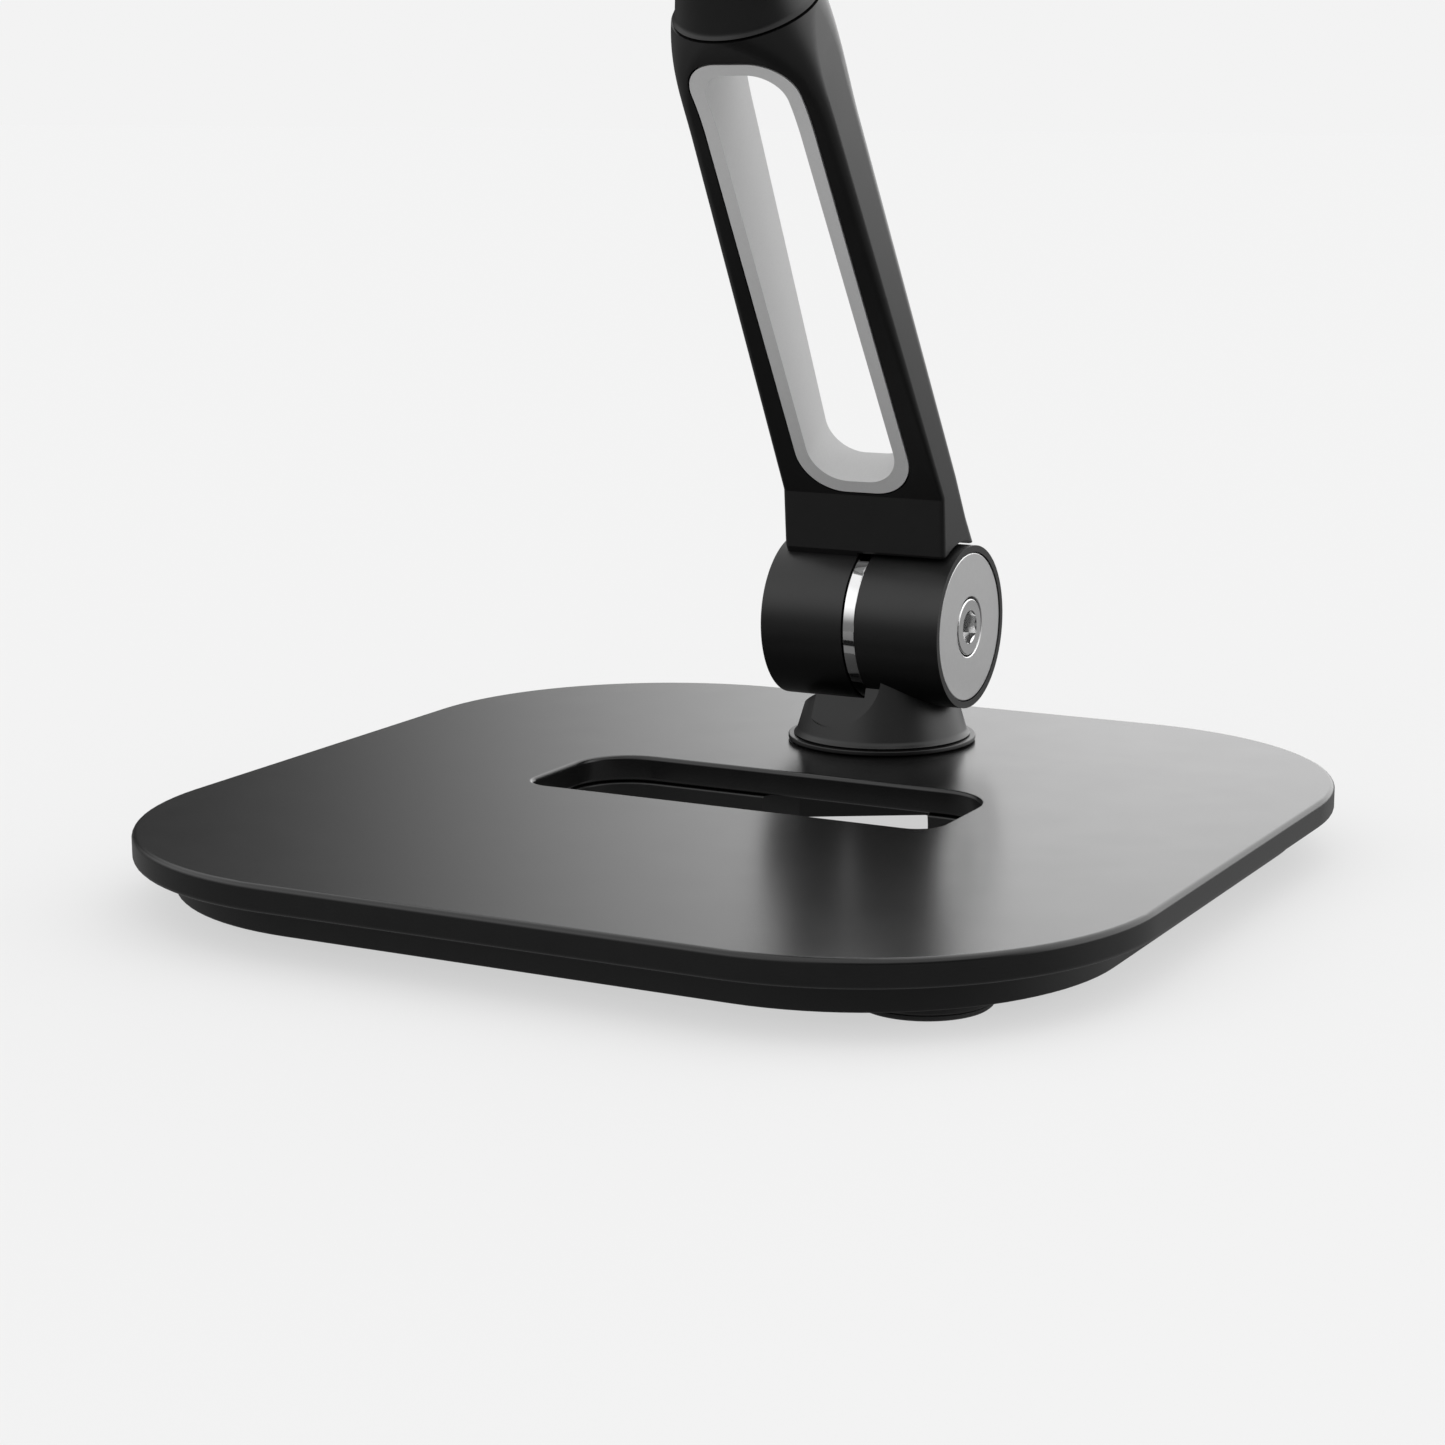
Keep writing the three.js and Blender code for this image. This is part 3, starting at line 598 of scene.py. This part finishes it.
post = hinge_post(13, 0.18, NECK_HEIGHT, HEAD, (2.3, 14))
piece("neck", post, IN_NECK, "satin_black", bevel=0.3)
hinge_pin("head", HEAD, IN_HEAD)
profile = [(0, -6), (4.2, -6), (4.2, -3.4), (2, -3.4), (2, 12), (0, 12)]
piece("neck_screw", cut(turned(profile, 48, 0.25), hexagon(2.5, -10, -4.6)), IN_NECK, "steel")

# Arms. Across the hinge is x, n is the way out of the arm's back, and s runs along it.


def mix(a, b, share):
    return a + (b - a) * share


def arm_ring(s, half, front, back, front_corner, back_corner):
    """One section of an arm at s, its corner radii shrunk to fit where they would meet."""
    room = back - front - 0.02
    shrink = min(1.0, room / (front_corner + back_corner))
    low, high = (min(corner * shrink, half - 0.01) for corner in (front_corner, back_corner))
    outline = rounded(box2d(-half, front, half, back), [low, low, high, high], 14)
    return [Vector((p.x, p.y, s)) for p in outline]


FLARE_START = 108
COLLAR = 13.7


def blade_faces(s):
    """The lower arm's front and back faces, and the radii of its front and back corners, at s."""
    past = s - 27.4
    return 4.45 - 2.7 * past / 94, 13.67 + 3.1 * past / 91, 1.0 + past * 0.013, 2.9 + past * 0.034


def lower_sections():
    """From its barrel the arm rises as a block to a crease, thickens and narrows evenly, then
    flares into the round collar at its top."""
    block = [(2, -0.35, 9, 1), (9.9, -0.35, 13.8, 2.4), (17.4, -0.35, 13.6, 2.9)]
    rings = [arm_ring(s, 17.3, front, back, 1, corner) for s, front, back, corner in block]
    rows = [(27.4, 17.3), (60, 16.4), (90, 15.45), (FLARE_START, 14.9)]
    for low, high in zip(rows, rows[1:]):
        for step in range(4):
            s, half = (mix(low[i], high[i], step / 4) for i in (0, 1))
            rings.append(arm_ring(s, half, *blade_faces(s)))
    for step in range(25):
        t = step / 24
        s = mix(FLARE_START, ARM_TOP, t)
        front, back = blade_faces(s)[:2]
        front = mix(front, ARM_MIDDLE - COLLAR, t**2.3)
        back = mix(back, ARM_MIDDLE + COLLAR, t**2.3)
        half = mix(14.9 - 0.72 * t, COLLAR, t**3)
        corners = blade_faces(FLARE_START)[2:]
        front_corner, back_corner = (mix(corner, COLLAR, t**3) for corner in corners)
        rings.append(arm_ring(s, half, front, back, front_corner, back_corner))
    return rings


def upper_sections():
    rows = [(2, 13.9, -7, 0.3), (8, 13.9, -11.2, 0.3), (14.1, 13.9, -11.5, 0.3)]
    rows += [(22, 13.8, -11.7, -3.1), (60, 12.3, -11.9, -2.9), (98, 10.8, -12.1, -2.7)]
    rows += [(UPPER_LENGTH, 9.6, -12.2, -2.6)]
    return [arm_ring(*row, 1 + row[0] * 0.01, 1 + row[0] * 0.005) for row in rows]


LOWER_WINDOW = dict(bottom=27.9, top=126, low_half=12.4, high_half=11, low_corner=9, high_corner=8)
UPPER_WINDOW = dict(bottom=24, top=101, low_half=10, high_half=7.4, low_corner=7, high_corner=5)
LINER_WALL = 2.7


def window_prism(window, inset):
    low_half, high_half = window["low_half"] - inset, window["high_half"] - inset
    bottom, top = window["bottom"] + inset, window["top"] - inset
    low, high = window["low_corner"] - inset * 0.6, window["high_corner"] - inset * 0.6
    corners = [(-low_half, bottom), (low_half, bottom), (high_half, top), (-high_half, top)]
    shape = prism(rounded(corners, [low, low, high, high], 16), -PAST, PAST)
    shape.transform(Matrix.Rotation(math.pi / 2, 4, "X"))
    return shape


def arm_body(sections, hinge):
    """An arm up from its left knuckle, with room for the right knuckle."""
    clear = along_x(rod(hinge["barrel"] + 0.85, -KNUCKLE_FACE, PAST, BARREL_SIDES))
    return join(cut(loft(sections), clear), knuckle(hinge, -hinge["half"], -KNUCKLE_FACE))


swivel = [rod(2.9, 100, 150, 48), rod(4.6, 100, 129.2, 48), rod(9.3, 130.6, 140, 64)]
swivel = [moved(bore, 0, ARM_MIDDLE, 0) for bore in swivel]
arm = cut(arm_body(lower_sections(), HINGE), window_prism(LOWER_WINDOW, 0), *swivel, *nut_bores(HINGE))
piece("lower_arm", arm, IN_LOWER, "satin_black", bevel=0.4, crease=20)
cap_left("hinge", HINGE, IN_LOWER)
profile = [(0, 126.3), (4.3, 126.3), (4.3, 128.3), (2.5, 128.3), (2.5, 136.6), (0, 136.6)]
screw = cut(turned(profile, 48, 0.2), hexagon(3, 120, 127.5))
piece("collar_screw", moved(screw, 0, ARM_MIDDLE, 0), IN_LOWER, "steel")
spring = moved(tube(2.8, 4.3, 128.5, 129, 48, 0.08), 0, ARM_MIDDLE, 0)
piece("collar_disc_spring", spring, IN_LOWER, "steel")
washer = moved(tube(2.8, 9, 130.9, 131.7, 64, 0.1), 0, ARM_MIDDLE, 0)
piece("collar_thrust_washer", washer, IN_LOWER, "brass")


def liner(name, sections, window, where):
    """The sleeve inside an arm's window, with rounded rims front and back."""
    skin = carve(loft(sections), "INTERSECT", window_prism(window, GAP))
    skin = cut(skin, window_prism(window, GAP + LINER_WALL))
    piece(name, skin, where, "liner", bevel=0.8, steps=4)


liner("lower_arm_liner", lower_sections(), LOWER_WINDOW, IN_LOWER)

arm = cut(arm_body(upper_sections(), ELBOW), window_prism(UPPER_WINDOW, 0))
at_head = (0, UPPER_MIDDLE, UPPER_LENGTH)
clear = along_x(rod(HEAD["barrel"] + 0.85, -KNUCKLE_FACE, PAST, BARREL_SIDES))
arm = cut(arm, moved(clear, *at_head))
arm = join(arm, moved(knuckle(HEAD, -HEAD["half"], -KNUCKLE_FACE), *at_head))
arm = cut(arm, *nut_bores(ELBOW), *[moved(bore, *at_head) for bore in nut_bores(HEAD)])
piece("upper_arm", arm, IN_UPPER, "satin_black", bevel=0.35)
liner("upper_arm_liner", upper_sections(), UPPER_WINDOW, IN_UPPER)
cap_left("elbow", ELBOW, IN_UPPER)
cap_left("head", HEAD, shifted(IN_UPPER, *at_head))

# Clamp head: the swivel face is at y = 0, the front towards -Y, and the rods run along Z

HALF, TALL, DEPTH, ROD_X, ROD_Y = 23, 37, 13, 14, -8
REACH = 50


def standing(outline, back_y, front_y, edge):
    """An outline of x and z given thickness along Y, its rims rounded."""
    shape = slab(outline, -back_y, -front_y, edge)
    shape.transform(Matrix.Rotation(math.pi / 2, 4, "X"))
    return shape


def clamp_outline(inset):
    corners = box2d(-HALF + inset, -TALL + inset, HALF - inset, TALL - inset)
    return rounded(corners, 8 - inset * 0.8, 12)


def at_rods(make):
    return [moved(make(), x, ROD_Y, 0) for x in (-ROD_X, ROD_X)]


def across_y(mesh):
    mesh.transform(Matrix.Rotation(math.pi / 2, 4, "X"))
    return mesh


def clamp_look(name, mesh, slot, **settings):
    return piece(name, mesh, IN_CLAMP, slot, **settings)


cover = cut(standing(clamp_outline, -0.3, -3, 0.7), across_y(rod(2.8, -PAST, PAST, 48)))
clamp_look("clamp_cover", cover, "satin_black", crease=50)
shell = standing(clamp_outline, -3.3, -DEPTH, 0.7)
hollow = standing(lambda inset: clamp_outline(inset + 2.4), 1, -DEPTH + 2.4, 0.4)
housing = cut(shell, hollow, *at_rods(lambda: rod(2.5, TALL - 17, TALL + 13, 48)))
housing = cut(housing, *at_rods(lambda: rod(1.8, -TALL - 23, -TALL + 17, 48)))
clamp_look("clamp_housing", housing, "black_plastic", crease=50)


def soft_box(x, y, z, edge):
    def outline(inset):
        corners = box2d(-x / 2 + inset, -z / 2 + inset, x / 2 - inset, z / 2 - inset)
        return rounded(corners, edge * 1.6 - inset * 0.9, 6)

    return standing(outline, y / 2, -y / 2, edge)


clamp_look("clamp_front_pad", moved(soft_box(38, 1.6, 64, 0.6), 0, -DEPTH - 1.1, 0), "pad", crease=60)


def jaw(way):
    near, far = way * (TALL + 0.4), way * REACH
    low, high = min(near, far), max(near, far)

    def outline(inset):
        return rounded(box2d(-42 + inset, low + inset, 42 - inset, high - inset), 4 - inset, 10)

    bar = standing(outline, -4, -DEPTH, 0.6)
    root, tip = -DEPTH + 1, -DEPTH - 15
    for x in (-34, 34):
        profile = [(root, way * 50), (tip, way * 50), (tip, way * 41), (tip + 3, way * 41)]
        profile += [(tip + 3, way * 47), (root, way * 47)]
        side = rounded(profile, [0, 4, 1.2, 1.2, 0.6, 0], 8)
        hook = loft([[Vector((x + dx, p.x, p.y)) for p in side] for dx in (-6, 6)])
        bar = join(bar, hook)
    return bar


lower_jaw = cut(jaw(-1), *at_rods(lambda: rod(1.8, -TALL - 4, -TALL + 9, 48)))
clamp_look("lower_jaw", lower_jaw, "satin_black", bevel=0.4)
clamp_look("upper_jaw", jaw(1), "satin_black", bevel=0.4)
for side, x in (("left", -34), ("right", 34)):
    for level, way in (("lower", -1), ("upper", 1)):
        pad = moved(soft_box(10, 11.2, 1.8, 0.6), x, -19.0, way * 45.8)
        clamp_look(f"{level}_jaw_pad_{side}", pad, "pad", crease=60)
for side, x in (("left", -ROD_X), ("right", ROD_X)):
    clamp_look(f"slide_rod_{side}", moved(rod(2.2, -12, TALL + 0.1, 48, 0.3), x, ROD_Y, 0), "steel")
    screw = moved(rod(1.5, -TALL - 3, -TALL + 4, 48, 0.2), x, ROD_Y, 0)
    clamp_look(f"lower_jaw_screw_{side}", screw, "steel")
bridge = moved(soft_box(36, 4.4, 6, 0.8), 0, ROD_Y, -15.6)
clamp_look("slide_bridge", bridge, "black_plastic", crease=60)

# The jaw spring: a closed-ended coil that rides with the housing's end of it
COILS, WIRE, COIL_RADIUS = 9, 0.32, 1.85
low, high = -34.2 + WIRE, -19 - WIRE
path = []
for step in range(COILS * 20 + 1):
    turn = step / 20
    if turn <= 1:
        z = low + 2 * WIRE * turn
    elif turn >= COILS - 1:
        z = high - 2 * WIRE * (COILS - turn)
    else:
        z = mix(low + 2 * WIRE, high - 2 * WIRE, (turn - 1) / (COILS - 2))
    angle = turn * math.tau
    path.append((COIL_RADIUS * math.cos(angle), COIL_RADIUS * math.sin(angle), z))
coil = bpy.data.curves.new("coil", "CURVE")
coil.dimensions = "3D"
coil.bevel_depth = WIRE * MM
coil.bevel_resolution = 3
coil.use_fill_caps = True
line = coil.splines.new("POLY")
line.points.add(len(path) - 1)
in_spring = shifted(IN_CLAMP, 0, ROD_Y, 0)
for point, at in zip(line.points, path):
    point.co = (*(in_spring @ Vector(at)), 1)
coil.materials.append(STEEL)
spring = bpy.data.objects.new("look_jaw_spring", coil)
bpy.context.scene.collection.objects.link(spring)
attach(spring, NODE_BODY["jaw_spring"])
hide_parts("jaw_spring")

# Floor and world. The world gives all the light.

WHITE = 0.896
corners = [(x, y, -0.0002) for x, y in box2d(-6, -6, 6, 6)]
floor_mesh = mesh_from(corners, [(0, 1, 2, 3)])
floor = bpy.data.objects.new("floor", floor_mesh)
bpy.context.scene.collection.objects.link(floor)
floor.visible_glossy = False
paper = bpy.data.materials.new("floor_paper")
paper.use_nodes = True
tree = paper.node_tree
tree.nodes.clear()
matte = tree.nodes.new("ShaderNodeBsdfDiffuse")
matte.inputs["Color"].default_value = grey(0.24)
glow = tree.nodes.new("ShaderNodeEmission")
glow.inputs["Color"].default_value = grey(1.0)
glow.inputs["Strength"].default_value = 0.59
both = tree.nodes.new("ShaderNodeAddShader")
out = tree.nodes.new("ShaderNodeOutputMaterial")
tree.links.new(matte.outputs[0], both.inputs[0])
tree.links.new(glow.outputs[0], both.inputs[1])
tree.links.new(both.outputs[0], out.inputs["Surface"])
floor_mesh.materials.append(paper)

world = bpy.data.worlds.new("studio")
bpy.context.scene.world = world
world.use_nodes = True
tree = world.node_tree
tree.nodes.clear()
where = tree.nodes.new("ShaderNodeTexCoord")


def facing(direction, low, high, low_value, high_value):
    """Smooth step of a world direction's lean towards one direction."""
    dot = tree.nodes.new("ShaderNodeVectorMath")
    dot.operation = "DOT_PRODUCT"
    dot.inputs[1].default_value = Vector(direction).normalized()
    ranged = tree.nodes.new("ShaderNodeMapRange")
    ranged.interpolation_type = "SMOOTHSTEP"
    ranged.inputs["From Min"].default_value = low
    ranged.inputs["From Max"].default_value = high
    ranged.inputs["To Min"].default_value = low_value
    ranged.inputs["To Max"].default_value = high_value
    tree.links.new(where.outputs["Generated"], dot.inputs[0])
    tree.links.new(dot.outputs["Value"], ranged.inputs["Value"])
    return ranged.outputs["Result"]


def combine(operation, a, b):
    node = tree.nodes.new("ShaderNodeMath")
    node.operation = operation
    for socket, value in zip(node.inputs, (a, b)):
        if isinstance(value, (int, float)):
            socket.default_value = value
        else:
            tree.links.new(value, socket)
    return node.outputs["Value"]


def compass(degrees, lift=0.0):
    """A direction: degrees round from +X towards +Y, raised by lift."""
    turn, up = math.radians(degrees), math.radians(lift)
    return (math.cos(turn) * math.cos(up), math.sin(turn) * math.cos(up), math.sin(up))


def both_of(a, b):
    return combine("MULTIPLY", a, b)


# A bright backdrop at the back right, soft light from above and from the front left, and a
# darker floor
right_of_view = facing(compass(28), -0.18, 0.14, 0.0, 1.0)
behind = facing((0, 1, 0), -0.3, 0.3, 0.0, 1.0)
above = facing((0, 0, 1), -0.08, 0.06, 0.0, 1.0)
backdrop = both_of(both_of(both_of(right_of_view, behind), above), 1.9)
ahead = facing(compass(-140), 0.25, 0.85, 0.0, 1.0)
front_dome = both_of(facing((0, 0, 1), -0.1, 0.5, 0.0, 1.45), ahead)
back_dome = facing((0, 0, 1), 0.3, 0.6, 0.0, 1.1)
near_floor = facing(compass(50, -8), math.cos(math.radians(50)), math.cos(math.radians(15)), 0.15, 0.3)
near_floor = both_of(near_floor, combine("SUBTRACT", 1.0, above))
light = combine("MAXIMUM", backdrop, combine("MAXIMUM", front_dome, back_dome))
light = combine("ADD", combine("ADD", light, near_floor), 0.05)
rays = tree.nodes.new("ShaderNodeLightPath")
light = combine("MULTIPLY", light, combine("SUBTRACT", 1.0, rays.outputs["Is Camera Ray"]))
light = combine("ADD", light, combine("MULTIPLY", rays.outputs["Is Camera Ray"], WHITE))
background = tree.nodes.new("ShaderNodeBackground")
background.inputs["Color"].default_value = grey(1.0)
out = tree.nodes.new("ShaderNodeOutputWorld")
tree.links.new(light, background.inputs["Strength"])
tree.links.new(background.outputs[0], out.inputs["Surface"])

bpy.context.scene.view_settings.view_transform = "Standard"
